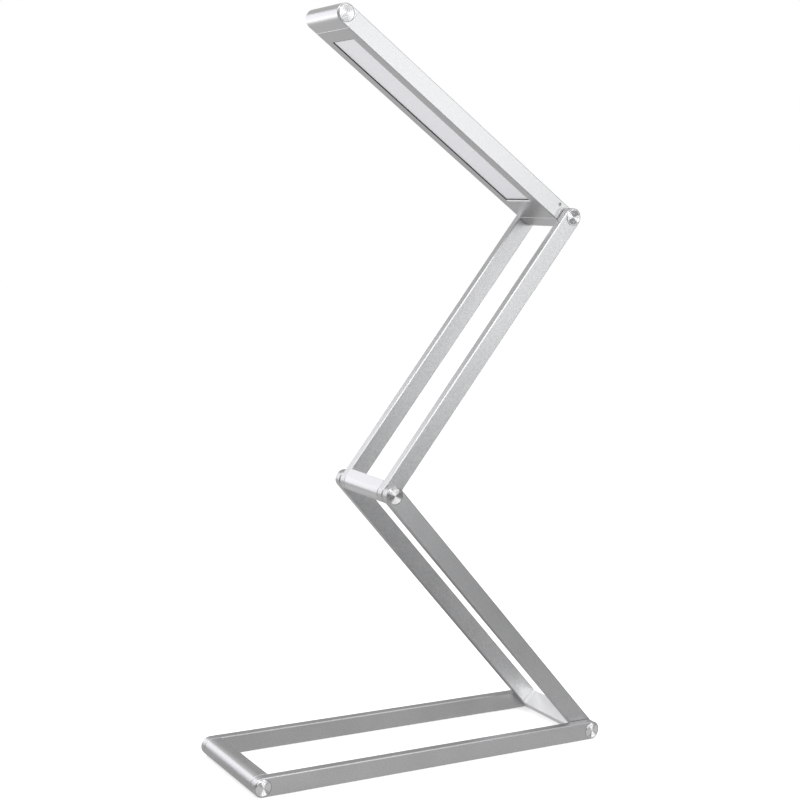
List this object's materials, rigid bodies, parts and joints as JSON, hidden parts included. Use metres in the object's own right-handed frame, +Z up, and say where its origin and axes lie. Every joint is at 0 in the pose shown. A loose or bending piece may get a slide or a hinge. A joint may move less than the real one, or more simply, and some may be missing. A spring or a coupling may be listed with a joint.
{
  "type": "folding desk lamp",
  "caption": "Folding desk lamp of flat satin aluminium frames that nest inside one another, with a flat bar head holding a long recessed light panel.",
  "frame": {"origin": "on the table, midway between the two ends of the base", "axes": "+Z up, +X from the round nose of the base towards its hinge, -Y is the front side"},
  "size_m": [0.2568, 0.0808, 0.4678],
  "materials": {
    "satin_bar": "fine bead-blasted, satin",
    "smooth_bar": "smooth satin",
    "turned_cap": "turned, circular grain",
    "steel": "bright zinc",
    "foot_rubber": "matte",
    "washer": "matte",
    "diffuser": "milky, unlit",
    "white_plastic": "matte white",
    "white_board": "white solder mask",
    "light_chip": "yellow phosphor",
    "cell": "silver foil",
    "lead": "red insulation",
    "green_board": "green solder mask",
    "black_part": "moulded black",
    "socket_metal": "bright",
    "clear_guide": "clear",
    "key_metal": "satin"
  },
  "bodies": {
    "base": {"base_front_rail": "satin_bar", "base_back_rail": "satin_bar", "base_cross_bar": "smooth_bar", "base_corner_caps": "turned_cap", "base_corner_screws": "steel", "base_dowels": "steel", "base_foot_pads": "foot_rubber", "base_hinge_caps": "turned_cap", "base_hinge_washers": "washer"},
    "lower_arm": {"lower_arm_front_rail": "satin_bar", "lower_arm_back_rail": "satin_bar", "lower_arm_cross_bar": "smooth_bar", "lower_arm_dowels": "steel", "base_hinge_screws": "steel", "elbow_caps": "turned_cap", "elbow_washers": "washer"},
    "upper_arm": {"upper_arm_front_rail": "satin_bar", "upper_arm_back_rail": "satin_bar", "upper_arm_cross_bar": "smooth_bar", "upper_arm_dowels": "steel", "elbow_screws": "steel", "head_hinge_caps": "turned_cap", "head_hinge_washers": "washer"},
    "head": {"head_hinge_screws": "steel", "head_housing": "satin_bar", "head_hinge_block": "smooth_bar", "head_nose_block": "smooth_bar", "head_nose_caps": "turned_cap", "light_diffuser": "diffuser", "light_tray": "white_plastic", "light_board": "white_board", "light_chips": "light_chip", "battery_cell": "cell", "battery_leads": "lead", "control_board": "green_board", "control_parts": "black_part", "charging_socket": "socket_metal", "charging_light": "clear_guide", "touch_key": "key_metal"}
  },
  "joints": [
    {"name": "base_hinge", "type": "hinge", "parent": "base", "child": "lower_arm", "pos_m": [0.12245, 0, 0.0064], "axis": [0, 1, 0], "range_deg": [-46.85, 88.15]},
    {"name": "elbow_hinge", "type": "hinge", "parent": "lower_arm", "child": "upper_arm", "pos_m": [-0.03608, 0, 0.17551], "axis": [0, -1, 0], "range_deg": [-100.29, 2]},
    {"name": "head_hinge", "type": "hinge", "parent": "upper_arm", "child": "head", "pos_m": [0.09318, 0, 0.34981], "axis": [0, 1, 0], "range_deg": [-87.11, 27.5]}
  ]
}
